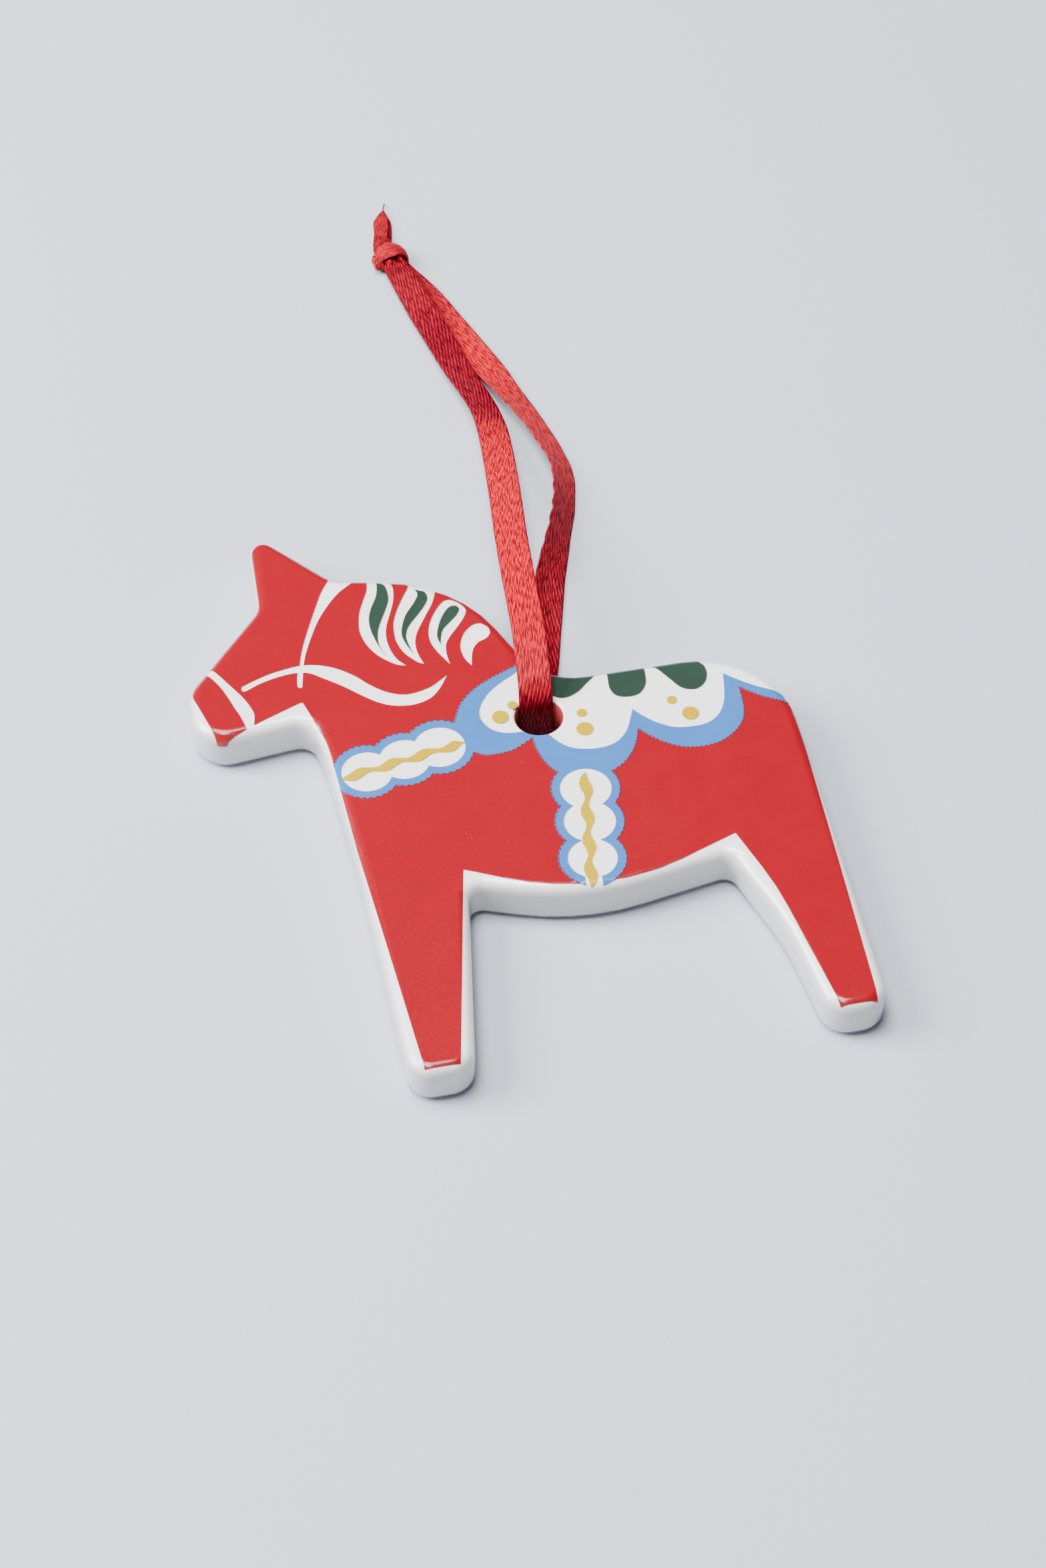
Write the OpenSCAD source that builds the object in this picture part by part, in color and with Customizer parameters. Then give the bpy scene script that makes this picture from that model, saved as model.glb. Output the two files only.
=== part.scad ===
// Flat glazed ceramic dala horse with a printed front and a satin ribbon
// through the hole at its withers. It lies on its back: X runs from the
// nose (-) to the rump (+), Y from the hooves (-) to the ear (+), and Z
// comes out of the printed face. Millimetres.

/* [Horse] */
// Length over all, nose to rump
body_length = 69.8; // [50:0.1:100]
// Height over all, hooves to ear tip
body_height = 82.9; // [60:0.1:120]
// Thickness of the ceramic plate
plate_thickness = 5.4; // [3.5:0.1:9]
// Rounding of the printed front edge
front_edge_radius = 1.4; // [0.6:0.1:2]
// Rounding of the back edge
back_edge_radius = 0.9; // [0.3:0.1:1.4]

/* [Print] */
// Thickness of the fired ink
ink_thickness = 0.1; // [0.05:0.01:0.2]
// How far inside the wall the girth strap stops at the belly
girth_inset = 0.45; // [0.3:0.05:1.2]
// Radius of a large saddle dot
big_dot_radius = 1; // [0.5:0.05:1.3]
// Radius of a small saddle dot
small_dot_radius = 0.6; // [0.3:0.05:0.8]
// Least width of the border between the hole's flare and the red
least_band = 0.4; // [0.2:0.05:1]

/* [Ribbon] */
// Width of the ribbon
ribbon_width = 4; // [2:0.1:5]
// Thickness of the ribbon
ribbon_thickness = 0.25; // [0.15:0.01:0.4]
// How much wider the hole is than the ribbon
hole_spare = 1.5; // [1.2:0.1:3]
// Size of the flare at both mouths of the hole
hole_flare = 0.5; // [0.2:0.05:0.9]

/* [Hidden] */

red = [0.78, 0.20, 0.20];
blue = [0.44, 0.62, 0.82];
green = [0.27, 0.39, 0.32];
yellow = [0.94, 0.79, 0.12];
glaze = [0.90, 0.88, 0.87];
satin = [0.80, 0.12, 0.14];

// The drawing below is 69.8 by 82.9 about this middle; the overall sizes stretch it.
drawn = [69.8, 82.9];
middle = [-1.1, 3.25];
stretch = [body_length / drawn.x, body_height / drawn.y];
round_scale = min(stretch.x, stretch.y);
hole_diameter = ribbon_width + hole_spare;
hole_at = [5.05 * stretch.x, 7.05 * stretch.y];
// The plate rests on the ribbon where the back strand passes beneath it.
plate_z = ribbon_thickness;
face_z = plate_z + plate_thickness;
arc_step = 11;
longest_chord = 3.2;
smooth = 4;
// Width of the ring that carries the rounded edges, and the least corner that it can follow.
rim = max(front_edge_radius, back_edge_radius) + 0.1;
least_corner = rim + 0.1;

// The ribbon's route, from the hole's middle: x, y, height, then the heading of its width,
// its tilt (right edge down) and its share of the full width. Front strand first.
knot_at = [-2.3, 85.2];
knot_turn = 14;
knot_length = 4.6;
front_strand = [[-1.3, 80.4, 1.25, 15, 0, 0.9], [-0.2, 75.8, 1.05, 14, 0, 1],
    [1, 70.2, 1, 12, 6, 1], [2.2, 64, 1.2, 12, 12, 1], [3.5, 58.4, 1.7, 8, 16, 1],
    [4.15, 54, 2.3, 2, 16, 1], [4.2, 49.6, 3, -2, 10, 1], [3.7, 43.2, 4.5, -5, 4, 1],
    [2.9, 35.4, 6.5, -6, 0, 1], [2, 27.4, 8.2, -6, 0, 1], [1.3, 19, 9.3, -5, 0, 1],
    [0.85, 11.4, 9.5, -4, 0, 1], [0.5, 7, 8.9, -3, 0, 1], [0.25, 4, 7.9, -2, 0, 1],
    [0.1, 2.5, 6.9, -1, 0, 1], [0, 1.8, 5.9, 0, 0, 1], [0, 1.6, 4.6, 0, 0, 1],
    [0, 1.6, 2.8, 0, 0, 1], [0, 1.6, 1.2, 0, 0, 1], [0, 1.6, 0.75, 0, 0, 1]];
// The back strand turns beneath the plate and lies on the table, half on its edge.
back_strand = [[0, 1.8, 0.3, 0, 0, 1], [0.05, 2.2, 0.126, -10, 0, 1],
    [0.4, 4, 0.125, -12, 0, 1], [1.1, 6.6, 0.125, -16, 0, 1], [2.85, 12, 0.126, -16, 0, 1],
    [4.7, 19, 0.45, -15, 8, 1], [6.7, 25.7, 1.15, -17, 30, 1], [9.2, 32.4, 1.7, -18, 50, 1],
    [10.8, 37.4, 1.75, -14, 50, 1], [11.7, 42.8, 1.6, -2, 44, 1],
    [11.2, 47.2, 1.45, 10, 38, 1], [9.7, 53.2, 1.3, 18, 32, 1], [7.6, 59.8, 0.95, 22, 20, 1],
    [6.65, 63.2, 0.55, 21, 8, 1], [5.4, 66.8, 0.3, 20, 0, 1], [3.1, 73.2, 0.3, 17, 0, 1],
    [1, 79.4, 0.35, 16, 0, 0.9]];
// The two tails lie together beyond the knot: x, y, height, heading, tilt, share of width.
tails = [[-2.9, 92, 0.85, 12, 6, 0.45], [-2.6, 94, 0.6, -6, 10, 0.5],
    [-2.1, 95.6, 0.45, -10, 4, 0.34], [-1.8, 96.9, 0.35, -10, 0, 0.08]];

// Corners of the plate's wall, anticlockwise from the front hoof: x, y, corner radius.
wall = [[-20, -37.8, 2.8], [-12.8, -37.8, 3], [-8.8, -12.8, 1.6], [3.6, -17.3, 28],
    [21.3, -14.1, 1.6], [25, -25, 40], [26.8, -38.2, 3.2], [33.8, -38.2, 3],
    [33.8, 15.75, 11.5], [5.9, 15.75, 7], [-1.5, 33.5, 17], [-16.2, 36.75, 2.5],
    [-25.2, 47.2, 1.6], [-25.9, 33.6, 3], [-36, 21.9, 4.6], [-36, 13.4, 4],
    [-22.6, 14.9, 2.2], [-21.7, 10.5, 14], [-20.6, -6, 40]];
// Corners of the printed area's edge.
print_edge = [[-18.3, -37.1, 0.15], [-14.3, -37.1, 0.15], [-9.05, -10.8, 0.1],
    [3.2, -16.7, 26], [14.5, -14.5, 16], [22.4, -11.6, 0.1], [25.2, -20, 40],
    [28.15, -37.6, 0.15], [32.4, -37.6, 0.15], [33.5, 0, 60], [33.45, 15.4, 11.4],
    [5.6, 15.35, 7], [-1.75, 33.15, 17], [-16.3, 36.4, 2], [-25.05, 46.3, 1.5],
    [-25.6, 33.7, 3], [-35.75, 22, 3], [-33.45, 13.5, 0.3], [-22.95, 17.7, 0.3],
    [-21.05, 11, 14], [-20.3, -6, 40]];

function unit(v) = v / norm(v);
function placed(p) = [(p.x - middle.x) * stretch.x, (p.y - middle.y) * stretch.y];
// One rounded corner, its wall moved inwards by d.
function corner(a, b, c, r, d) =
    let (u = unit(b - a), v = unit(c - b), s = u.x * v.y - u.y * v.x > 0 ? 1 : -1,
        bend = acos(max(-1, min(1, u * v))), n = [-u.y, u.x] * s,
        hub = b - u * r * tan(bend / 2) + n * r, start = atan2(-n.y, -n.x),
        steps = max(ceil(bend / arc_step), ceil(r * bend * PI / 180 / longest_chord)))
    [for (j = [0:steps]) hub + (r - s * d) * [cos(start + s * bend * j / steps),
        sin(start + s * bend * j / steps)]];
function outline(v, d = 0, least = 0) = let (n = len(v)) [for (i = [0:n - 1])
    each corner(placed(v[(i + n - 1) % n]), placed(v[i]), placed(v[(i + 1) % n]),
        max(v[i][2] * round_scale, least), d)];
// A smooth line through its points, and a closed shape of such lines that meet at corners.
function blend(a, b, c, d, t) = (2 * b + (c - a) * t + (2 * a - 5 * b + 4 * c - d) * t * t
    + (3 * b - a - 3 * c + d) * t * t * t) / 2;
function curve(p, n = smooth) = let (last = len(p) - 1) concat([for (i = [0:last - 1])
    let (a = i > 0 ? p[i - 1] : 2 * p[0] - p[1],
        d = i + 2 <= last ? p[i + 2] : 2 * p[last] - p[last - 1])
    for (k = [0:n - 1]) blend(a, p[i], p[i + 1], d, k / n)], [p[last]]);
function shape(lines) = [for (l = lines) each len(l) > 2 ? curve(l) : l];
function ring(c, r, n = 32) = [for (i = [0:n - 1]) c + r * [cos(360 * i / n), sin(360 * i / n)]];

// A flat strip swept along [point, heading, tilt, share] stations; ends face along first and last.
function beside(s) = let (h = [cos(s[1]), sin(s[1]), 0])
    h * cos(s[2]) - [0, 0, 1] * sin(s[2]);
function strip_ring(s, along, thick) =
    let (w0 = beside(s), w = unit(w0 - along * (w0 * along)), n = cross(w, along),
        a = ribbon_width * s[3] / 2, b = thick / 2)
    [for (q = [[a, -b / 2], [a, b / 2], [a - b / 2, b], [b / 2 - a, b], [-a, b / 2],
        [-a, -b / 2], [b / 2 - a, -b], [a - b / 2, -b]]) s[0] + w * q.x + n * q.y];
module strip(stations, first, last, thick) {
    m = len(stations);
    rings = [for (i = [0:m - 1]) strip_ring(stations[i],
        i == 0 ? first : i == m - 1 ? last
            : unit(stations[i + 1][0] - stations[i - 1][0]), thick)];
    polyhedron([for (r = rings) for (p = r) p],
        concat([[for (i = [0:7]) i]],
            [for (k = [0:m - 2]) for (i = [0:7]) let (j = (i + 1) % 8)
                [k * 8 + i, (k + 1) * 8 + i, (k + 1) * 8 + j, k * 8 + j]],
            [[for (i = [7:-1:0]) (m - 1) * 8 + i]]));
}

knot_along = [-sin(knot_turn), cos(knot_turn), 0];
knot_beside = [cos(knot_turn), sin(knot_turn), 0];
function from_hole(s) = [[hole_at.x + s.x, hole_at.y + s.y, s.z], s[3], s[4], s[5]];
// A point of the knot: how far along it, how far beside its middle line, and its height.
function in_knot(along, side, z) = [hole_at.x + knot_at.x, hole_at.y + knot_at.y, z]
    + knot_along * along + knot_beside * side;

module area(points) {
    polygon([for (p = points) placed(p)]);
}

// White lines left bare in the red: noseband, rein and cheek strap.
noseband = shape([[[-33.8, 25.1], [-33.3, 24.1], [-32.2, 22.1], [-31.5, 20.3], [-30.9, 18.3],
    [-30.4, 16.8], [-29.9, 14.6]], [[-29.2, 14.6], [-28.8, 16.5], [-28.9, 17.6], [-29.5, 19.3],
    [-30.4, 21], [-31.5, 22.9], [-32.6, 24.8], [-33, 25.6]]]);
rein = shape([[[-29.6, 21.4], [-28, 22.1], [-26, 22.8], [-24, 23.2], [-22, 23.4], [-20, 23],
    [-18, 22], [-16.2, 20.5], [-14.7, 18.8], [-13.1, 17.4], [-11.4, 16.6], [-9.9, 16.5],
    [-7.9, 17], [-6.4, 17.9], [-5.4, 18.6]], [[-5.4, 18.6], [-6.7, 16.6], [-7.9, 15.4],
    [-9.4, 14.8], [-11, 14.7], [-12.8, 15.1], [-14.4, 16], [-15.9, 17.3], [-17.9, 19.2],
    [-20, 20.9], [-21.5, 22], [-23.3, 22.3], [-25.5, 22], [-27.5, 21.4], [-29.3, 20.6],
    [-29.7, 20.9]]]);
cheek_strap = shape([[[-16.5, 37.4], [-16.9, 36.3], [-18, 34.5], [-19, 32.3], [-20, 30],
    [-21.2, 27.1], [-21.9, 25.1], [-22.4, 23.2], [-22.9, 21.8], [-23.1, 20.3], [-23, 19.9]],
    [[-22.6, 19.9], [-22.3, 21.3], [-22.1, 22.3], [-21.7, 24], [-21.1, 25.7], [-20, 28.2],
    [-18.9, 30.3], [-17.5, 32.3], [-16, 34], [-14.2, 35.4], [-12.8, 37]]]);
// White mane strokes, front to back, and the green drop inside each of the first three.
mane_white = [
    shape([[[-12.3, 37], [-12.4, 34.3], [-13.2, 32.3], [-14, 30.3], [-14.4, 28.2],
        [-14.4, 26.8], [-14, 25.1], [-13.2, 23.5], [-12.2, 22.3], [-11, 21.3], [-9.9, 20.9]],
        [[-9.9, 20.9], [-10.9, 22.3], [-11.4, 24.1], [-11.5, 25.8], [-11.2, 27.5],
        [-10.5, 29.3], [-9.8, 31.1], [-9.4, 32.8], [-9.4, 34.3], [-9.8, 37]]]),
    shape([[[-7.2, 35], [-7.6, 33.3], [-8.3, 32.1], [-9.4, 30.1], [-10.2, 28.1],
        [-10.45, 26.3], [-10.4, 24.8], [-9.9, 23.1], [-9.1, 21.9], [-8.4, 21.1], [-7.8, 20.8]],
        [[-7.8, 20.8], [-8.2, 22.3], [-8.3, 23.8], [-8, 25.3], [-7.3, 26.7], [-6.2, 28.5],
        [-5.2, 30.1], [-4.6, 31.6], [-4, 34]]]),
    shape([[[-2.9, 30.5], [-3.9, 30.2], [-5.2, 28.6], [-6.1, 26.8], [-6.45, 25.3],
        [-6.4, 23.8], [-5.9, 22.3], [-5.2, 20.9], [-4.8, 20.1]], [[-4.8, 20.1], [-4.9, 21.8],
        [-4.7, 23.3], [-4, 24.5], [-2.9, 25.8], [-1.9, 27.1], [-1.4, 28.1], [-1.45, 28.9],
        [-2.1, 29.9], [-2.9, 30.5]]]),
    shape([[[0, 25.9], [0.7, 25.2], [0.8, 24.2], [0.2, 23.4], [-0.9, 22.9], [-1.7, 21.9],
        [-2.1, 20.6], [-2.3, 19.4]], [[-2.3, 19.4], [-2.8, 20.3], [-3.1, 21.5],
        [-3.05, 22.9], [-2.4, 24.5], [-1.4, 25.6], [-0.6, 25.95], [0, 25.9]]])];
mane_green = [
    shape([[[-11.2, 34.9], [-11.2, 34.2], [-11.6, 32.6], [-12.5, 30.8], [-13.05, 29.1],
        [-13.1, 27.3], [-12.8, 25.5], [-12.5, 24.3], [-12, 22.9]], [[-12, 22.9],
        [-12.5, 24.6], [-12.5, 25.8], [-12.2, 27.3], [-11.5, 28.9], [-10.8, 30.3],
        [-10.2, 31.8], [-10.1, 33.2], [-10.3, 34.3], [-10.8, 34.9]]]),
    shape([[[-6.8, 32.9], [-6.6, 32], [-7.3, 30.7], [-8.5, 29.1], [-9.2, 27.6], [-9.6, 26],
        [-9.4, 24.5], [-8.8, 22.7]], [[-8.8, 22.7], [-9.15, 24.8], [-9, 26.1], [-8.4, 27.3],
        [-7.1, 28.8], [-6, 30.2], [-5.5, 31.3], [-5.7, 32.3]]]),
    shape([[[-2.4, 29.3], [-2.1, 28.7], [-2.6, 27.8], [-3.5, 26.9], [-4.6, 25.8],
        [-5.1, 24.5], [-5.3, 23.4]], [[-5.3, 23.4], [-5.5, 24.8], [-5.1, 26.3], [-4.4, 27.8],
        [-3.6, 28.9], [-3, 29.35]]])];
// The straps are rows of round lobes: centre, then blue and white radius.
chest_lobes = [[[-17.3, 5.6], 4, 3], [[-12.7, 6.6], 4, 3], [[-8.4, 7.65], 4.1, 3.05]];
girth_lobes = [[[7, -1.8], 4, 3], [[6.45, -6.7], 4, 3], [[5.65, -12.05], 3.9, 2.85]];
// The white gap where the girth strap runs out at the belly.
girth_end = [[4.3, -14], [6.2, -14], [5.9, -18], [3.9, -18]];
// Outer and inner edge of the saddle's blue border, carried out past the back.
saddle_outer = shape([[[6, 20.2], [3, 18.5], [1.1, 17.7], [-0.9, 16.8], [-2.9, 15.6],
    [-4.7, 13.8], [-5.7, 11.8], [-6, 10.7], [-5.6, 8.8], [-4.6, 6.3]],
    [[-4.6, 6.1], [-3.4, 5.4], [-1.9, 5.3], [0.1, 5.6], [2.5, 6.9]],
    [[2.5, 6.9], [2.6, 5.3], [3.1, 3.3], [4, 1.6], [5.6, 0.2], [7.6, -0.4], [9.6, -0.2],
    [12, 1], [13.4, 2.5], [14.3, 4.1], [14.9, 5.9]],
    [[14.9, 5.9], [16.1, 4.5], [17.7, 3.1], [19.6, 2.1], [21.7, 1.8], [23.9, 2.1],
    [25.8, 3.2], [27.2, 4.8], [27.8, 6.8], [28, 9.9]],
    [[28, 9.9], [29, 9], [30.6, 7.8], [32.6, 6.8], [35.5, 5.6]], [[36, 19], [6, 21]]]);
saddle_white = shape([[[5.8, 19.6], [2.9, 18.2], [2.6, 17.4], [0.6, 16.2], [-1.2, 14.8],
    [-2.4, 13.2], [-2.9, 11.6], [-2.6, 10.1], [-1.7, 8.9], [-0.2, 8.2], [1.6, 8.05]],
    [[3.9, 10.4], [4.4, 7.2]],
    [[4.4, 7.2], [5.3, 5.8], [6.6, 4.6], [8.4, 4], [10.3, 3.9], [12, 4.4], [13.4, 5.7],
    [14.2, 7.3], [14.9, 9]],
    [[14.9, 9], [15.9, 7.7], [17.4, 6.3], [19.1, 5.3], [21.1, 5], [23.1, 5.2], [24.7, 6.3],
    [25.7, 8.1], [26.2, 10.1], [26.6, 12.4]],
    [[26.6, 12.4], [27.6, 11.5], [29.1, 10.3], [30.6, 9.3], [32.1, 8.5], [35.5, 6.6]],
    [[36, 18], [5.8, 20.5]]]);
// Green drops that hang from the saddle's back edge.
saddle_green = [
    curve([[11.9, 15.8], [11.3, 14.8], [10.3, 13.9], [9.3, 13], [8.1, 12.4], [7, 12.35],
        [6.1, 13], [5.5, 14.4], [5.3, 17]]),
    curve([[13.3, 16.5], [13, 13.8], [12.95, 12.8], [13.3, 11.7], [14.1, 11.15], [15.3, 11],
        [16.3, 11.3], [17.1, 12.2], [17.5, 13.5], [17.7, 16.5]]),
    curve([[18, 16.5], [19.4, 14.2], [20.3, 12.7], [21.2, 11.3], [22.3, 10.7],
        [23.3, 10.75], [24.3, 11.6], [24.75, 12.8], [24.7, 13.9], [24.3, 14.7],
        [23.2, 16.5]])];
big_dots = [[-0.55, 10.8], [8.8, 7.1], [21.45, 7.05]];
small_dots = [[1.2, 12.35], [8.95, 9.6], [19.75, 9.5]];
// Which part of the red each node takes.
muzzle_part = [[-40, 30], [-40, 8], [-29.6, 8], [-29.6, 16], [-31.2, 21], [-33.2, 25.2]];
head_part = [[-33.2, 25.2], [-31.2, 21], [-29.6, 16], [-29.6, 8], [-24, 5.2], [-8, 7.6],
    [-3, 7], [8, 14], [8, 50], [-40, 50]];
foreleg_part = [[-24, 5.2], [-8, 7.6], [-3, 7], [4, 8], [7, -1.8], [6, -20], [-10, -45],
    [-24, -45]];
hind_part = [[4, 4], [7, -1.8], [6, -20], [10, -45], [40, -45], [40, 14], [27, 12]];

// A yellow line of slanted drops between two points, count drops, width at neck and swell.
function drops(a, b, count, first, neck, swell, lean, taper) =
    let (len_ab = norm(b - a), u = unit(b - a), n = [-u.y, u.x], steps = count * 8,
        w = function (s, off) neck + swell * (1 + cos(360 * (s - first - off) * count / len_ab)) / 2,
        fade = function (s) min(1, s / taper, (len_ab - s) / taper))
    concat([for (i = [0:steps]) let (s = len_ab * i / steps)
            a + u * s + n * w(s, lean / 2) * fade(s)],
        [for (i = [steps:-1:0]) let (s = len_ab * i / steps)
            a + u * s - n * w(s, -lean / 2) * fade(s)]);

// A closed ring along the wall: its section runs through [inset, height] pairs and back.
module ring_solid(section) {
    loops = [for (r = section) outline(wall, r[0], least_corner)];
    n = len(loops[0]);
    m = len(section);
    polyhedron([for (i = [0:m - 1]) for (p = loops[i]) [p.x, p.y, section[i][1]]],
        [for (k = [0:m - 1]) for (i = [0:n - 1]) let (j = (i + 1) % n, l = (k + 1) % m)
            [k * n + i, l * n + i, l * n + j, k * n + j]]);
}

// The plate's rounded edges, all round.
module plate_rim() {
    ring_solid(concat([[rim, plate_z]],
        [for (t = [90, 45, 0]) [back_edge_radius * (1 - cos(t)),
            plate_z + back_edge_radius * (1 - sin(t))]],
        [for (t = [0:22.5:90]) [front_edge_radius * (1 - cos(t)),
            face_z - front_edge_radius * (1 - sin(t))]],
        [[rim, face_z]]));
}

// The part of the ink layer that wraps the rounded edge. The flat part is a plain slab.
module ink_band() {
    rise = front_edge_radius + ink_thickness;
    ring_solid(concat(
        [for (t = [90:-22.5:0]) [front_edge_radius * (1 - cos(t)),
            face_z - front_edge_radius * (1 - sin(t))]],
        [for (t = [0:22.5:90]) [front_edge_radius - rise * cos(t),
            face_z - front_edge_radius + rise * sin(t)]]));
}

module hole() {
    translate([hole_at.x, hole_at.y, plate_z - 1])
        cylinder(d = hole_diameter, h = plate_thickness + 2, $fn = 48);
}

module flare() {
    translate([hole_at.x, hole_at.y, 0])
        cylinder(r1 = hole_diameter / 2 + hole_flare, r2 = hole_diameter / 2, h = hole_flare, $fn = 48);
}

// A flat drawing as a layer of ink on the face and round its edge.
module ink() {
    translate([0, 0, face_z]) linear_extrude(ink_thickness) intersection() {
        polygon(outline(wall, front_edge_radius, least_corner));
        children();
    }
    intersection() {
        ink_band();
        translate([0, 0, face_z - front_edge_radius - 1])
            linear_extrude(front_edge_radius + ink_thickness + 2) children();
    }
}

module printed() {
    polygon(outline(print_edge));
}

module lobes(list, which) {
    for (l = list) area(ring(l[0], l[which]));
}

// The saddle; a least band of it always stands round the hole's flare.
module saddle() {
    area(saddle_outer);
    translate(hole_at) circle(hole_diameter / 2 + hole_flare + least_band, $fn = 48);
}

module red_area() {
    difference() {
        printed();
        area(noseband);
        area(rein);
        area(cheek_strap);
        for (m = mane_white) area(m);
        saddle();
        lobes(chest_lobes, 1);
        lobes(girth_lobes, 1);
    }
}

module red_part(part) {
    color(red) ink() intersection() {
        red_area();
        area(part);
    }
}

module horse_body() {
    color(glaze) {
        difference() {
            translate([0, 0, plate_z]) linear_extrude(plate_thickness)
                polygon(outline(wall, rim, least_corner));
            hole();
            translate([0, 0, plate_z]) flare();
            translate([0, 0, face_z]) mirror([0, 0, 1]) flare();
        }
        plate_rim();
    }
}

module red_muzzle() {
    red_part(muzzle_part);
}

module red_head_neck() {
    red_part(head_part);
}

module red_foreleg() {
    red_part(foreleg_part);
}

module red_hindquarter() {
    red_part(hind_part);
}

module blue_chest_strap() {
    color(blue) ink() intersection() {
        printed();
        difference() {
            lobes(chest_lobes, 1);
            lobes(chest_lobes, 2);
            saddle();
        }
    }
}

module blue_saddle_border() {
    color(blue) ink() intersection() {
        printed();
        difference() {
            saddle();
            area(saddle_white);
            lobes(girth_lobes, 2);
            lobes(chest_lobes, 2);
            translate(hole_at) circle(hole_diameter / 2 + hole_flare, $fn = 48);
        }
    }
}

module blue_girth_strap() {
    color(blue) ink() intersection() {
        polygon(outline(wall, girth_inset, least_corner));
        difference() {
            lobes(girth_lobes, 1);
            lobes(girth_lobes, 2);
            saddle();
            area(girth_end);
        }
    }
}

module green_mane_strokes() {
    color(green) ink() intersection() {
        printed();
        for (m = mane_green) area(m);
    }
}

module green_saddle_drops() {
    color(green) ink() intersection() {
        printed();
        for (g = saddle_green) area(g);
    }
}

module yellow_chest_line() {
    color(yellow) ink() intersection() {
        printed();
        lobes(chest_lobes, 2);
        area(drops([-20.9, 5], [-5.3, 7.8], 4, 2.5, 0.2, 0.6, 1, 1.2));
    }
}

module yellow_girth_line() {
    color(yellow) ink() intersection() {
        polygon(outline(wall, girth_inset, least_corner));
        union() {
            lobes(girth_lobes, 2);
            area(girth_end);
        }
        area(drops([7.45, 0.6], [4.7, -16], 4, 2.2, 0.2, 0.6, 1, 0.5));
    }
}

module yellow_saddle_dots() {
    color(yellow) ink() {
        for (p = big_dots) translate(placed(p)) circle(big_dot_radius, $fn = 24);
        for (p = small_dots) translate(placed(p)) circle(small_dot_radius, $fn = 24);
    }
}

module ribbon_loop() {
    color(satin) strip(concat([[in_knot(0, -0.1, 1.5), knot_turn, 0, 0.8]],
        [for (s = front_strand) from_hole(s)], [for (s = back_strand) from_hole(s)],
        [[in_knot(0, 0.4, 0.6), knot_turn, 0, 0.8]]), -knot_along, knot_along,
        ribbon_thickness);
}

module knot_block(along, side, z, size) {
    translate(in_knot(along, side, z)) rotate([0, 0, knot_turn])
        translate([-size.x / 2, 0, -size.z / 2]) cube(size);
}

module knot_ball(along, side, z, r) {
    translate(in_knot(along, side, z)) sphere(r, $fn = 20);
}

module ribbon_knot() {
    color(satin) {
        hull() {
            knot_block(0, 0.1, 1.1, [3.6, 0.3, 1.9]);
            knot_ball(1.8, -0.5, 1.6, 1.5);
            knot_ball(1.6, 0.9, 1.45, 1.3);
            knot_block(knot_length - 0.3, -0.3, 1.2, [2.4, 0.3, 1.2]);
        }
        hull() {
            knot_ball(1.6, -1.4, 1.1, 1);
            knot_ball(2.9, -0.9, 1.3, 0.9);
        }
    }
}

module ribbon_tails() {
    color(satin) strip(concat([[in_knot(knot_length, -0.3, 1.2), knot_turn, 0, 0.5]],
        [for (s = tails) from_hole(s)]), knot_along, unit([0.25, 1.5, -0.1]),
        ribbon_thickness * 2);
}

horse_body();
red_muzzle();
red_head_neck();
red_foreleg();
red_hindquarter();
blue_chest_strap();
blue_saddle_border();
blue_girth_strap();
green_mane_strokes();
green_saddle_drops();
yellow_chest_line();
yellow_girth_line();
yellow_saddle_dots();
ribbon_loop();
ribbon_knot();
ribbon_tails();
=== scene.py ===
"""A glazed ceramic dala horse with a fired print, and the satin ribbon it hangs from."""

from __future__ import annotations

import logging
import math
from dataclasses import dataclass, field
from enum import Enum
from typing import Any, Iterable, Sequence

import bmesh
import bpy
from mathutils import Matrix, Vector, noise
from mathutils.bvhtree import BVHTree

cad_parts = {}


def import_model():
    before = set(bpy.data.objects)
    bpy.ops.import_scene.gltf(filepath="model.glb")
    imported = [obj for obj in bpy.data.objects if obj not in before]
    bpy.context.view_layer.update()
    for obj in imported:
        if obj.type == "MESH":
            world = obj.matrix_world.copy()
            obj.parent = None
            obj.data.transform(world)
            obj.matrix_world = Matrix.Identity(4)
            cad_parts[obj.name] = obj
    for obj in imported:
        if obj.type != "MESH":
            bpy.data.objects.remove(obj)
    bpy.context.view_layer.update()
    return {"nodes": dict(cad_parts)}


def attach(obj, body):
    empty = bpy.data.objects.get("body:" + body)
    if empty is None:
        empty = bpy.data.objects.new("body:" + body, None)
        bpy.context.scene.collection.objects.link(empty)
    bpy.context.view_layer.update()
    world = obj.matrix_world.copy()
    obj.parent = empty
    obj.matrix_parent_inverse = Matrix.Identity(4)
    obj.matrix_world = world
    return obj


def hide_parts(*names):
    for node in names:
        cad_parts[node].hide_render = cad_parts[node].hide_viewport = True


LOG = logging.getLogger("dala_horse")
MM = 0.001
Colour = tuple[float, float, float, float]


class Side(Enum):
    """The two faces of the satin: the bright one and the duller twill one."""

    BRIGHT = 0
    TWILL = 1


# ---------------------------------------------------------------- shader tools


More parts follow.
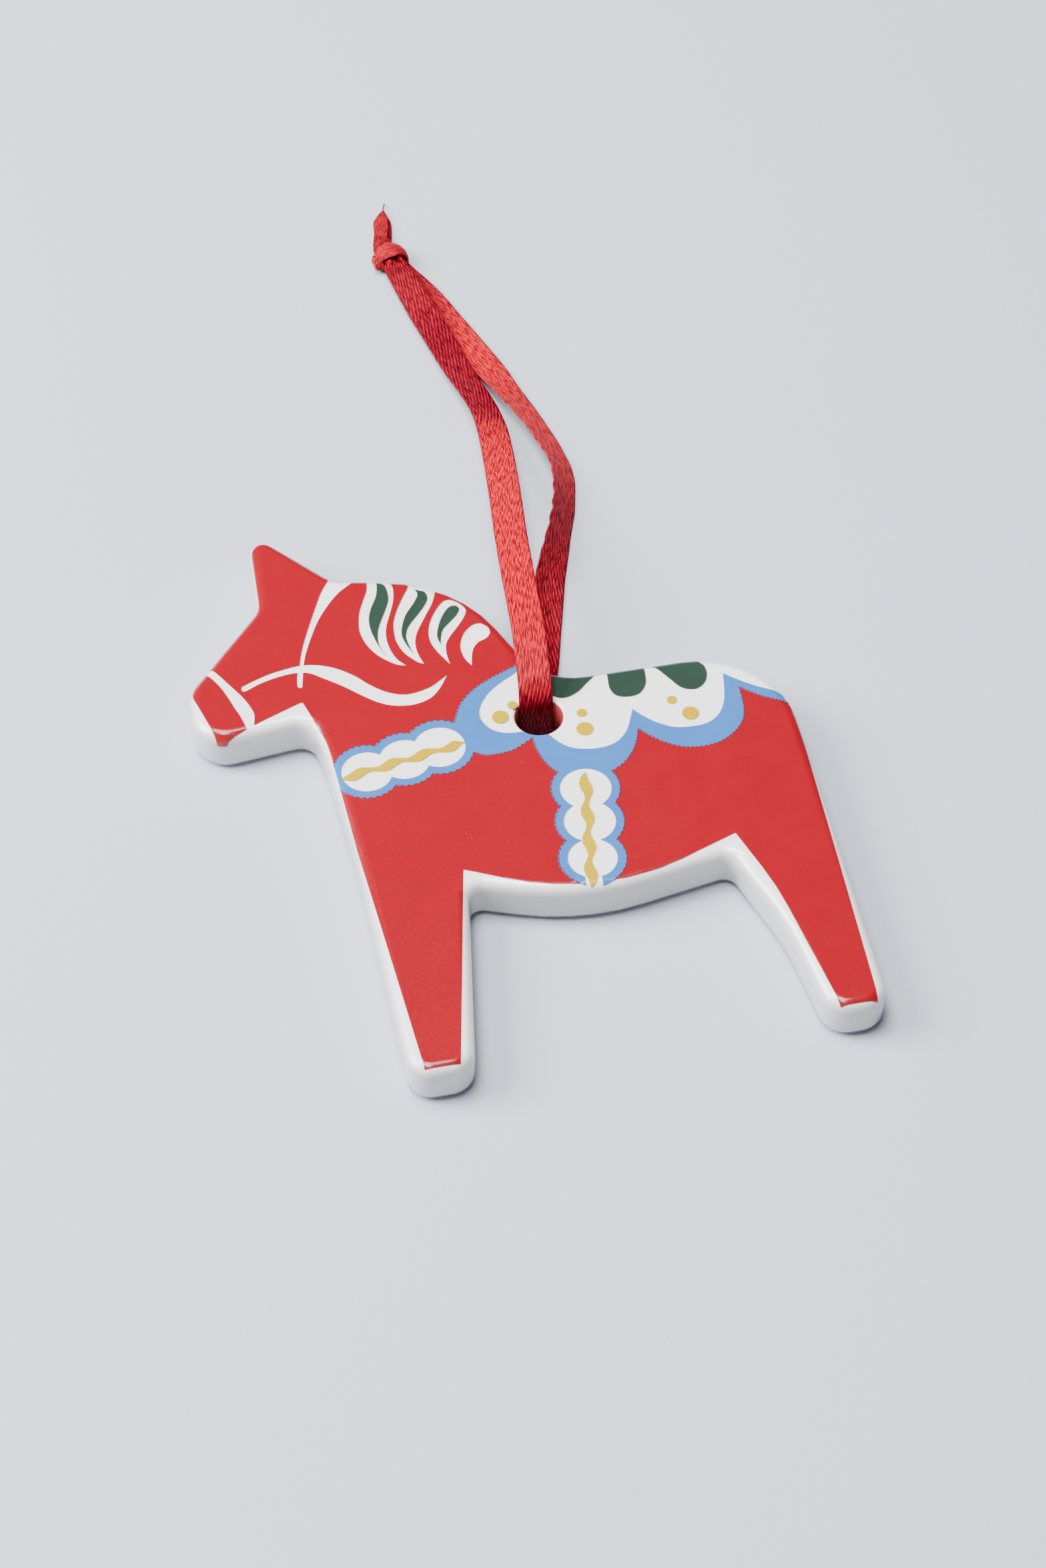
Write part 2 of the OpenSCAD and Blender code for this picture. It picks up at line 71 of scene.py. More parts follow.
class Bench:
    """Adds nodes to one node tree and joins their sockets by name."""

    def __init__(self, tree: bpy.types.NodeTree) -> None:
        """Takes the tree that the nodes go into."""
        self.tree = tree

    def add(self, kind: str, **settings: Any) -> bpy.types.Node:
        """Adds a node.

        Args:
            kind: The node's type, without its ShaderNode prefix.
            **settings: Properties of the node, set by name.

        Returns:
            The new node.
        """
        prefix = "" if kind.startswith("Node") else "ShaderNode"
        node = self.tree.nodes.new(prefix + kind)
        for name, value in settings.items():
            setattr(node, name, value)
        return node

    def join(self, source: bpy.types.NodeSocket, target: bpy.types.NodeSocket) -> None:
        """Links an output to an input."""
        self.tree.links.new(source, target)

    def feed(self, node: bpy.types.Node, name: str | int, value: Any) -> None:
        """Sets an input from a socket, or from a plain value."""
        if isinstance(value, bpy.types.NodeSocket):
            self.join(value, node.inputs[name])
        else:
            node.inputs[name].default_value = value

    def maths(self, operation: str, *values: Any, clamp: bool = False) -> bpy.types.NodeSocket:
        """Adds a Math node over sockets or numbers and returns its output."""
        node = self.add("Math", operation=operation, use_clamp=clamp)
        for i, value in enumerate(values):
            self.feed(node, i, value)
        return node.outputs[0]

    def ramp(self, value: bpy.types.NodeSocket, low: float, high: float,
             to_low: float = 0.0, to_high: float = 1.0) -> bpy.types.NodeSocket:
        """Maps a value smoothly from one range to another.

        Args:
            value: The value to map.
            low: Where the ramp starts.
            high: Where the ramp ends.
            to_low: What it gives at the start.
            to_high: What it gives at the end.

        Returns:
            The mapped value.
        """
        node = self.add("MapRange", interpolation_type="SMOOTHSTEP")
        for name, number in (("From Min", low), ("From Max", high),
                             ("To Min", to_low), ("To Max", to_high)):
            node.inputs[name].default_value = number
        self.join(value, node.inputs["Value"])
        return node.outputs["Result"]

    def speckle(self, vector: bpy.types.NodeSocket, scale: Any, detail: float = 3.0,
                rough: float = 0.55) -> bpy.types.NodeSocket:
        """Adds a Noise texture on a vector and returns its factor."""
        node = self.add("TexNoise")
        self.join(vector, node.inputs["Vector"])
        self.feed(node, "Scale", scale)
        self.feed(node, "Detail", detail)
        self.feed(node, "Roughness", rough)
        return node.outputs["Fac"]

    def mix(self, factor: Any, a: Any, b: Any, blend: str = "MIX") -> bpy.types.NodeSocket:
        """Mixes two colours.

        Args:
            factor: How much of the second.
            a: The first colour or socket.
            b: The second colour or socket.
            blend: How they mix.

        Returns:
            The mixed colour.
        """
        node = self.add("Mix", data_type="RGBA", blend_type=blend)
        for index, value in ((0, factor), (6, a), (7, b)):
            self.feed(node, index, value)
        return node.outputs[2]


def new_group(name: str, inputs: Sequence[tuple[str, str, Any]],
              outputs: Sequence[tuple[str, str]]) -> tuple[Bench, Any, Any]:
    """Starts a shader node group.

    Args:
        name: The group's name.
        inputs: Name, kind and default of each input.
        outputs: Name and kind of each output.

    Returns:
        The bench for the group's tree, its input node and its output node.
    """
    tree = bpy.data.node_groups.new(name, "ShaderNodeTree")
    for label, kind, default in inputs:
        socket = tree.interface.new_socket(label, in_out="INPUT", socket_type=kind)
        if default is not None:
            socket.default_value = default
    for label, kind in outputs:
        tree.interface.new_socket(label, in_out="OUTPUT", socket_type=kind)
    bench = Bench(tree)
    return bench, bench.add("NodeGroupInput"), bench.add("NodeGroupOutput")


class Effects:
    """The shader effects that more than one finish uses, each built once."""

    def __init__(self) -> None:
        """Builds the three groups."""
        self.glaze = self.build_glaze()
        self.mottle = self.build_mottle()
        self.weave = self.build_weave()

    def build_glaze(self) -> bpy.types.NodeTree:
        """Glaze that levels itself: slow ripples, rare pinholes and a hazy bloom.

        Returns:
            A group with Height, Pinhole and Bloom, and a mask for painted shading on walls.
        """
        bench, start, end = new_group(
            "glaze_skin",
            [("Ripple", "NodeSocketFloat", 260.0), ("Pinholes", "NodeSocketFloat", 420.0)],
            [("Height", "NodeSocketFloat"), ("Pinhole", "NodeSocketFloat"),
             ("Bloom", "NodeSocketFloat"), ("Painted_wall_shading", "NodeSocketFloat")])
        place = bench.add("TexCoord").outputs["Object"]
        slow = bench.speckle(place, start.outputs["Ripple"], 2.0, 0.4)
        fine = bench.speckle(place, 2600.0, 2.0, 0.5)
        cells = bench.add("TexVoronoi", feature="F1")
        bench.join(place, cells.inputs["Vector"])
        bench.join(start.outputs["Pinholes"], cells.inputs["Scale"])
        dot = bench.ramp(cells.outputs["Distance"], 0.05, 0.085, 1.0, 0.0)
        rare = bench.ramp(bench.speckle(place, 190.0, 1.0), 0.63, 0.68)
        hole = bench.maths("MULTIPLY", dot, rare)
        height = bench.maths("ADD", bench.maths("MULTIPLY", slow, 0.85),
                             bench.maths("MULTIPLY", fine, 0.05))
        bench.join(bench.maths("SUBTRACT", height, bench.maths("MULTIPLY", hole, 0.6)),
                   end.inputs["Height"])
        bench.join(hole, end.inputs["Pinhole"])
        bench.join(bench.ramp(bench.speckle(place, 70.0, 4.0), 0.35, 0.7), end.inputs["Bloom"])
        # Painted shading mask: 1 where the surface stands upright, 0 where it lies level.
        turn = bench.add("SeparateXYZ")
        bench.join(bench.add("NewGeometry").outputs["Normal"], turn.inputs[0])
        up = bench.maths("ABSOLUTE", turn.outputs["Z"])
        bench.join(bench.ramp(up, 0.35, 0.97, 1.0, 0.0), end.inputs["Painted_wall_shading"])
        return bench.tree

    def build_mottle(self) -> bpy.types.NodeTree:
        """Uneven ink: broad clouds, fine grain and tiny missed spots.

        Returns:
            A group with Cloud, Grain and Missed outputs.
        """
        bench, start, end = new_group(
            "ink_mottle",
            [("Grain", "NodeSocketFloat", 3200.0), ("Cloud", "NodeSocketFloat", 210.0)],
            [("Cloud", "NodeSocketFloat"), ("Grain", "NodeSocketFloat"),
             ("Missed", "NodeSocketFloat")])
        place = bench.add("TexCoord").outputs["Object"]
        cloud = bench.speckle(place, start.outputs["Cloud"], 5.0, 0.6)
        grain = bench.speckle(place, start.outputs["Grain"], 3.0, 0.7)
        spots = bench.speckle(place, 1500.0, 2.0, 0.5)
        bench.join(bench.ramp(cloud, 0.3, 0.7), end.inputs["Cloud"])
        bench.join(bench.ramp(grain, 0.3, 0.7), end.inputs["Grain"])
        bench.join(bench.ramp(spots, 0.72, 0.78), end.inputs["Missed"])
        return bench.tree

    def build_weave(self) -> bpy.types.NodeTree:
        """Satin threads along a ribbon's own UV: floats, twill steps and selvedge.

        Returns:
            A group with Height, Thread, Twill and Selvedge outputs.
        """
        bench, start, end = new_group(
            "satin_weave",
            [("Across", "NodeSocketFloat", 24.0), ("Along", "NodeSocketFloat", 5.0),
             ("Twill", "NodeSocketFloat", 7.0)],
            [("Height", "NodeSocketFloat"), ("Thread", "NodeSocketFloat"),
             ("Twill", "NodeSocketFloat"), ("Selvedge", "NodeSocketFloat")])
        uv = bench.add("SeparateXYZ")
        bench.join(bench.add("UVMap", uv_map="ribbon").outputs["UV"], uv.inputs[0])
        across, along = uv.outputs["X"], uv.outputs["Y"]
        # Warp floats: short threads side by side, each row a step on from the last.
        place = bench.add("CombineXYZ")
        bench.join(bench.maths("MULTIPLY", across, start.outputs["Across"]), place.inputs[0])
        shift = bench.maths("MULTIPLY", bench.maths("FLOOR", bench.maths(
            "MULTIPLY", across, start.outputs["Across"])), 0.37)
        bench.join(bench.maths("ADD", bench.maths("MULTIPLY", along, start.outputs["Along"]),
                               shift), place.inputs[1])
        floats = bench.speckle(place.outputs[0], 1.0, 1.0, 0.5)
        # Twill: fine diagonal steps.
        lean = bench.maths("ADD", bench.maths("MULTIPLY", along, start.outputs["Twill"]),
                           bench.maths("MULTIPLY", across, 9.0))
        wave = bench.maths("SINE", bench.maths("MULTIPLY", lean, 2 * math.pi))
        steps = bench.maths("ADD", bench.maths("MULTIPLY", wave, 0.5), 0.5)
        broken = bench.maths("MULTIPLY", steps, bench.ramp(floats, 0.3, 0.62))
        off = bench.maths("ABSOLUTE", bench.maths("SUBTRACT", across, 0.5))
        edge = bench.ramp(off, 0.43, 0.475)
        knots = bench.maths("ADD", bench.maths("MULTIPLY", bench.maths("SINE", bench.maths(
            "MULTIPLY", along, 52.0)), 0.35), 0.65)
        bench.join(bench.ramp(floats, 0.36, 0.62), end.inputs["Thread"])
        bench.join(broken, end.inputs["Twill"])
        bench.join(bench.maths("MULTIPLY", edge, knots), end.inputs["Selvedge"])
        ridges = bench.maths("ADD", bench.maths("MULTIPLY", broken, 0.6),
                             bench.maths("MULTIPLY", floats, 0.7))
        bench.join(bench.maths("ADD", ridges, bench.maths("MULTIPLY", edge, 0.5)),
                   end.inputs["Height"])
        return bench.tree


def new_material(name: str) -> tuple[bpy.types.Material, Bench, bpy.types.Node]:
    """Starts a material with a Principled shader.

    Args:
        name: The material's name.

    Returns:
        The material, the bench for its tree and the shader node.
    """
    material = bpy.data.materials.new(name)
    material.use_nodes = True
    tree = material.node_tree
    return material, Bench(tree), tree.nodes["Principled BSDF"]


def add_bump(bench: Bench, shader: bpy.types.Node, height: bpy.types.NodeSocket,
             depth: float) -> None:
    """Raises a height over a shader's surface.

    Args:
        bench: The material's bench.
        shader: The Principled shader.
        height: The height, from 0 to 1.
        depth: How deep 1 is, in metres.
    """
    bump = bench.add("Bump")
    bump.inputs["Distance"].default_value = depth
    bench.join(height, bump.inputs["Height"])
    bench.join(bump.outputs["Normal"], shader.inputs["Normal"])


def use_group(bench: Bench, tree: bpy.types.NodeTree, **values: float) -> bpy.types.Node:
    """Places a shared effect in a material with its own values."""
    node = bench.add("Group")
    node.node_tree = tree
    for name, value in values.items():
        node.inputs[name].default_value = value
    return node


@dataclass(frozen=True)
class Glaze:
    """The white fired glaze of the plate."""

    name: str = "white_glaze"
    colour: Colour = (0.90, 0.865, 0.86, 1.0)
    pooled: Colour = (0.84, 0.805, 0.80, 1.0)
    # Painted shade: the grey of the walls and rounded edges.
    painted_wall_shade: Colour = (0.62, 0.592, 0.582, 1.0)
    # The hole's middle and radius, for the bore's painted shade.
    bore: tuple[float, float, float] = (5.05 * MM, 7.05 * MM, 2.82 * MM)

    def build(self, effects: Effects) -> bpy.types.Material:
        """Returns the glaze, with painted shade greying its walls and darkening its bore."""
        material, bench, shader = new_material(self.name)
        skin = use_group(bench, effects.glaze, Ripple=240.0, Pinholes=420.0)
        colour = bench.mix(bench.maths("MULTIPLY", skin.outputs["Bloom"], 0.35),
                           self.colour, self.pooled)
        # Painted shade: the walls and rounded edges are greyed.
        colour = bench.mix(skin.outputs["Painted_wall_shading"], colour, self.painted_wall_shade)
        colour = bench.mix(bench.maths("MULTIPLY", skin.outputs["Pinhole"], 0.7),
                           colour, (0.30, 0.25, 0.21, 1.0))
        # The bore's wall is painted dark red: painted shade, with the ribbon's red reflected in it.
        spot = bench.add("SeparateXYZ")
        bench.join(bench.add("TexCoord").outputs["Object"], spot.inputs[0])
        away = [bench.maths("SUBTRACT", spot.outputs[axis], self.bore[k])
                for k, axis in enumerate("XY")]
        square = bench.maths("ADD", *(bench.maths("MULTIPLY", d, d) for d in away))
        inside = bench.ramp(bench.maths("SQRT", square), self.bore[2],
                            self.bore[2] * 1.06, 1.0, 0.0)
        colour = bench.mix(inside, colour, (0.26, 0.03, 0.03, 1.0))
        bench.join(colour, shader.inputs["Base Color"])
        bench.join(bench.ramp(skin.outputs["Bloom"], 0.0, 1.0, 0.13, 0.21),
                   shader.inputs["Roughness"])
        shader.inputs["Subsurface Weight"].default_value = 0.06
        shader.inputs["Subsurface Radius"].default_value = (0.0012, 0.0010, 0.0009)
        shader.inputs["Subsurface Scale"].default_value = 1.0
        shader.inputs["Coat Weight"].default_value = 0.55
        shader.inputs["Coat Roughness"].default_value = 0.06
        add_bump(bench, shader, skin.outputs["Height"], 0.00006)
        return material


@dataclass(frozen=True)
class Ink:
    """One fired colour of the print under its gloss."""

    name: str
    colour: Colour
    deep: Colour
    # Paler colour for missed spots, and for the painted sheen on walls and rounded edges.
    worn_and_edge_sheen: Colour
    clouds: float = 0.5
    grain: float = 0.35
    missed: float = 0.25

    def build(self, effects: Effects) -> bpy.types.Material:
        """Returns the ink: clouded, finely grained, and paler round the edge as painted sheen."""
        material, bench, shader = new_material(self.name)
        mottle = use_group(bench, effects.mottle, Grain=3000.0, Cloud=230.0)
        skin = use_group(bench, effects.glaze, Ripple=240.0, Pinholes=420.0)
        colour = bench.mix(bench.maths("MULTIPLY", mottle.outputs["Cloud"], self.clouds),
                           self.colour, self.deep)
        colour = bench.mix(bench.maths("MULTIPLY", mottle.outputs["Grain"], self.grain),
                           colour, self.deep)
        colour = bench.mix(bench.maths("MULTIPLY", mottle.outputs["Missed"], self.missed),
                           colour, self.worn_and_edge_sheen)
        # Painted sheen: the ink is paler on its walls and rounded edges.
        colour = bench.mix(bench.maths("MULTIPLY", skin.outputs["Painted_wall_shading"], 0.35),
                           colour, self.worn_and_edge_sheen)
        bench.join(colour, shader.inputs["Base Color"])
        bench.join(bench.ramp(mottle.outputs["Grain"], 0.0, 1.0, 0.17, 0.26),
                   shader.inputs["Roughness"])
        shader.inputs["Specular IOR Level"].default_value = 0.35
        shader.inputs["Coat Weight"].default_value = 0.22
        shader.inputs["Coat Roughness"].default_value = 0.07
        add_bump(bench, shader, skin.outputs["Height"], 0.00006)
        return material


@dataclass(frozen=True)
class Satin:
    """One face of the ribbon's satin."""

    name: str
    side: Side
    colour: Colour
    shade: Colour
    gleam: Colour
    roughness: float
    sheen: float

    def build(self, effects: Effects) -> bpy.types.Material:
        """Returns the satin face, with its threads on the ribbon's own UV map."""
        material, bench, shader = new_material(self.name)
        dull = self.side is Side.TWILL
        weave = use_group(bench, effects.weave, Across=26.0, Along=3.4, Twill=2.6)
        # Painted shade: a per-vertex value darkens the satin and its twill, and lets the twill show more.
        tone = bench.add("Attribute", attribute_name="tone").outputs["Fac"]
        colour = bench.mix(weave.outputs["Thread"], self.shade, self.colour)
        dark = bench.mix(1.0, colour, (0.19, 0.25, 0.60, 1.0), "MULTIPLY")
        colour = bench.mix(tone, colour, dark)
        twill_in_shade = bench.ramp(tone, 0.1, 0.7, 0.75 if dull else 0.4, 0.95)
        shine = bench.mix(tone, self.gleam, (0.36, 0.006, 0.022, 1.0))
        colour = bench.mix(bench.maths("MULTIPLY", weave.outputs["Twill"], twill_in_shade),
                           colour, shine)
        colour = bench.mix(bench.maths("MULTIPLY", weave.outputs["Selvedge"], 0.55),
                           colour, (0.16, 0.008, 0.02, 1.0))
        bench.join(colour, shader.inputs["Base Color"])
        bench.join(bench.ramp(weave.outputs["Thread"], 0.0, 1.0, self.roughness + 0.1,
                              self.roughness - 0.05), shader.inputs["Roughness"])
        shader.inputs["Anisotropic"].default_value = 0.55
        shader.inputs["Specular IOR Level"].default_value = 0.06
        shader.inputs["Sheen Weight"].default_value = self.sheen
        shader.inputs["Sheen Roughness"].default_value = 0.4
        shader.inputs["Sheen Tint"].default_value = (1.0, 0.45, 0.4, 1.0)
        add_bump(bench, shader, weave.outputs["Height"], 0.00009)
        return material


def backdrop_paper() -> bpy.types.Material:
    """Returns the floor's pale matt paper with a faint tooth."""
    material, bench, shader = new_material("pale_paper")
    place = bench.add("TexCoord").outputs["Object"]
    cloud = bench.speckle(place, 6.0, 4.0)
    tooth = bench.speckle(place, 900.0, 3.0)
    colour = bench.mix(cloud, (0.435, 0.475, 0.55, 1.0), (0.47, 0.51, 0.58, 1.0))
    bench.join(colour, shader.inputs["Base Color"])
    shader.inputs["Roughness"].default_value = 0.85
    shader.inputs["Specular IOR Level"].default_value = 0.25
    add_bump(bench, shader, tooth, 0.00003)
    return material


# ------------------------------------------------------------------ mesh tools


def place_mesh(name: str, bm: bmesh.types.BMesh,
               materials: Iterable[bpy.types.Material]) -> bpy.types.Object:
    """Makes an object at the origin from a bmesh, and frees the bmesh.

    Args:
        name: The object's name.
        bm: The shape, in metres.
        materials: Its materials, in slot order.

    Returns:
        The new object.
    """
    mesh = bpy.data.meshes.new(name)
    bm.to_mesh(mesh)
    bm.free()
    for material in materials:
        mesh.materials.append(material)
    piece = bpy.data.objects.new(name, mesh)
    bpy.context.scene.collection.objects.link(piece)
    return piece


def settle(piece: bpy.types.Object, slot: str, *nodes: str) -> bpy.types.Object:
    """Rides a piece on the plate's body, and says what it stands for.

    Args:
        piece: The finished piece.
        slot: The material slot of its finish; not used.
        *nodes: The CAD nodes that it replaces.

    Returns:
        The piece.
    """
    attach(piece, "root")
    if nodes:
        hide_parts(*nodes)
    LOG.info("%s: %d faces, for %s", piece.name, len(piece.data.polygons),
             ", ".join(nodes) or "detail")
    return piece


def smooth_but_flat(mesh: bpy.types.Mesh, limit: float = 50.0) -> None:
    """Shades a merged mesh smoothly while its level faces stay level.

    Args:
        mesh: The mesh, with its doubles merged.
        limit: Edges sharper than this many degrees stay sharp.
    """
    cosine = math.cos(math.radians(limit))
    mesh.shade_smooth()
    around: list[list[tuple[Vector, float]]] = [[] for _ in mesh.vertices]
    for face in mesh.polygons:
        corners = [mesh.vertices[i].co for i in face.vertices]
        for k, vertex in enumerate(face.vertices):
            a = corners[k - 1] - corners[k]
            b = corners[(k + 1) % len(corners)] - corners[k]
            angle = a.angle(b, 0.0) if a.length and b.length else 0.0
            around[vertex].append((face.normal.copy(), angle))
    normals: list[Vector] = []
    for face in mesh.polygons:
        for vertex in face.vertices:
            near = [(n, w) for n, w in around[vertex] if n.dot(face.normal) > cosine]
            level = next((n for n, _ in near if abs(n.z) > 0.99995), None)
            total = level or sum((n * w for n, w in near), Vector())
            normals.append((total if total.length > 1e-9 else face.normal).normalized())
    mesh.normals_split_custom_set(normals)


def merged_copy(source: bpy.types.Object, name: str,
                material: bpy.types.Material) -> bpy.types.Object:
    """Copies a CAD node's shape with its loose triangles joined.

    Args:
        source: The CAD node's object.
        name: The new piece's name.
        material: Its finish.

    Returns:
        The new piece.
    """
    bm = bmesh.new()
    bm.from_mesh(source.data)
    for face in bm.faces:
        face.material_index = 0
    bmesh.ops.remove_doubles(bm, verts=bm.verts, dist=0.002 * MM)
    bmesh.ops.dissolve_degenerate(bm, dist=0.0005 * MM, edges=bm.edges)
    piece = place_mesh(name, bm, [material])
    smooth_but_flat(piece.data)
    return piece


def rounded(points: Sequence[Sequence[float]], steps: int) -> list[list[float]]:
    """Runs a smooth line through rows of numbers.

    Args:
        points: The rows: places with anything else that changes along the line.
        steps: How many pieces each stretch is cut into.

    Returns:
        The finer rows, ends included.
    """
    rows: list[list[float]] = []
    last = len(points) - 1
    for i in range(last):
        b, c = points[i], points[i + 1]
        a = points[i - 1] if i else [2 * p - q for p, q in zip(b, c)]
        d = points[i + 2] if i + 2 <= last else [2 * q - p for p, q in zip(b, c)]
        for k in range(steps):
            t = k / steps
            rows.append([0.5 * (2 * q + (r - p) * t + (2 * p - 5 * q + 4 * r - s) * t * t
                                + (3 * q - p - 3 * r + s) * t ** 3)
                         for p, q, r, s in zip(a, b, c, d)])
    rows.append(list(points[last]))
    return rows


# --------------------------------------------------------------------- plate


@dataclass
class Plate:
    """The ceramic plate, its print and the dark lines where two inks overlap."""

    overlap_radius: float = 0.075 * MM
    glaze: Glaze = field(default_factory=Glaze)
    red: Ink = field(default_factory=lambda: Ink(
        "red_ink", (0.265, 0.001, 0.009, 1.0), (0.225, 0.001, 0.007, 1.0),
        (0.48, 0.05, 0.045, 1.0), missed=0.12))
    blue: Ink = field(default_factory=lambda: Ink(
        "blue_ink", (0.040, 0.150, 0.41, 1.0), (0.030, 0.122, 0.36, 1.0),
        (0.15, 0.28, 0.50, 1.0)))
    green: Ink = field(default_factory=lambda: Ink(
        "green_ink", (0.019, 0.041, 0.029, 1.0), (0.014, 0.032, 0.022, 1.0),
        (0.06, 0.10, 0.075, 1.0)))
    yellow: Ink = field(default_factory=lambda: Ink(
        "yellow_ink", (0.46, 0.31, 0.0, 1.0), (0.42, 0.27, 0.0, 1.0),
        (0.50, 0.34, 0.0, 1.0)))
    overlap: Ink = field(default_factory=lambda: Ink(
        "overlap_ink", (0.075, 0.045, 0.11, 1.0), (0.045, 0.028, 0.08, 1.0),
        (0.20, 0.10, 0.16, 1.0)))

    def build(self, nodes: dict[str, bpy.types.Object], effects: Effects) -> None:
        """Builds the plate and every colour of the print.

        Args:
            nodes: The CAD nodes by name.
            effects: The shared shader effects.
        """
        body = merged_copy(nodes["horse_body"], "glazed_plate", self.glaze.build(effects))
        settle(body, "glaze", "horse_body")
        inks = {"red": self.red.build(effects), "blue": self.blue.build(effects),
                "green": self.green.build(effects), "yellow": self.yellow.build(effects)}
        prints: dict[str, bpy.types.Object] = {}
        for name, node in nodes.items():
            family = name.split("_")[0]
            if family in inks:
                prints[name] = merged_copy(node, "fired_" + name, inks[family])
                settle(prints[name], family + "_print", name)
        self.build_overlaps(prints, self.overlap.build(effects))

    def build_overlaps(self, prints: dict[str, bpy.types.Object],
                       material: bpy.types.Material) -> None:
        """Lays a fine dark line where the blue is printed over the edge of the red."""
        reds = [self.walls(p) for n, p in prints.items() if n.startswith("red")]
        for name in ("blue_chest_strap", "blue_saddle_border", "blue_girth_strap"):
            edges = self.shared_edges(prints[name].data, reds)
            if edges:
                line = self.line_along(name.replace("blue", "overlap"), edges, material)
                settle(line, "blue_print")

    def walls(self, piece: bpy.types.Object) -> BVHTree:
        """Returns the upright walls of a print, to search."""
        mesh = piece.data
        faces = [tuple(f.vertices) for f in mesh.polygons if abs(f.normal.z) < 0.2]
        return BVHTree.FromPolygons([v.co.copy() for v in mesh.vertices], faces)

    def shared_edges(self, mesh: bpy.types.Mesh, reds: list[BVHTree]) -> list[tuple[Vector, Vector]]:
        """Finds the upper edges of a print that touch a red wall.

        Args:
            mesh: The blue print's mesh.
            reds: The red prints' walls.

        Returns:
            The ends of each such edge.
        """
        bm = bmesh.new()
        bm.from_mesh(mesh)
        found = []
        for edge in bm.edges:
            if len(edge.link_faces) != 2:
                continue
            slopes = sorted(abs(f.normal.z) for f in edge.link_faces)
            if slopes[0] > 0.2 or slopes[1] < 0.5 or max(
                    f.normal.z for f in edge.link_faces) < 0.5:
                continue
            a, b = (v.co.copy() for v in edge.verts)
            middle = (a + b) / 2
            if any((tree.find_nearest(middle, 0.03 * MM)[0]) is not None for tree in reds):
                found.append((a, b))
        bm.free()
        return found

    def line_along(self, name: str, edges: list[tuple[Vector, Vector]],
                   material: bpy.types.Material) -> bpy.types.Object:
        """Lays a low rounded line along edges.

        Args:
            name: The piece's name.
            edges: The ends of each edge.
            material: The line's finish.

        Returns:
            The piece.
        """
        bm = bmesh.new()
        for a, b in edges:
            along = b - a
            if along.length < 0.01 * MM:
                continue
            made = bmesh.ops.create_cone(
                bm, cap_ends=True, segments=8, radius1=self.overlap_radius,
                radius2=self.overlap_radius, depth=along.length + 0.06 * MM)
            turn = along.to_track_quat("Z", "Y").to_matrix()
            bmesh.ops.rotate(bm, verts=made["verts"], matrix=turn)
            bmesh.ops.scale(bm, verts=made["verts"], vec=(1.0, 1.0, 0.4))
            bmesh.ops.translate(bm, verts=made["verts"], vec=(a + b) / 2)
        piece = place_mesh(name, bm, [material])
        piece.data.shade_smooth()
        return piece


# --------------------------------------------------------------------- ribbon


@dataclass
class Station:
    """One place on the ribbon's centreline, in metres and radians."""

    place: Vector
    heading: float
    tilt: float
    share: float
    # Painted shade of the satin here, from 0 to 1.
    tone: float
    frill: float


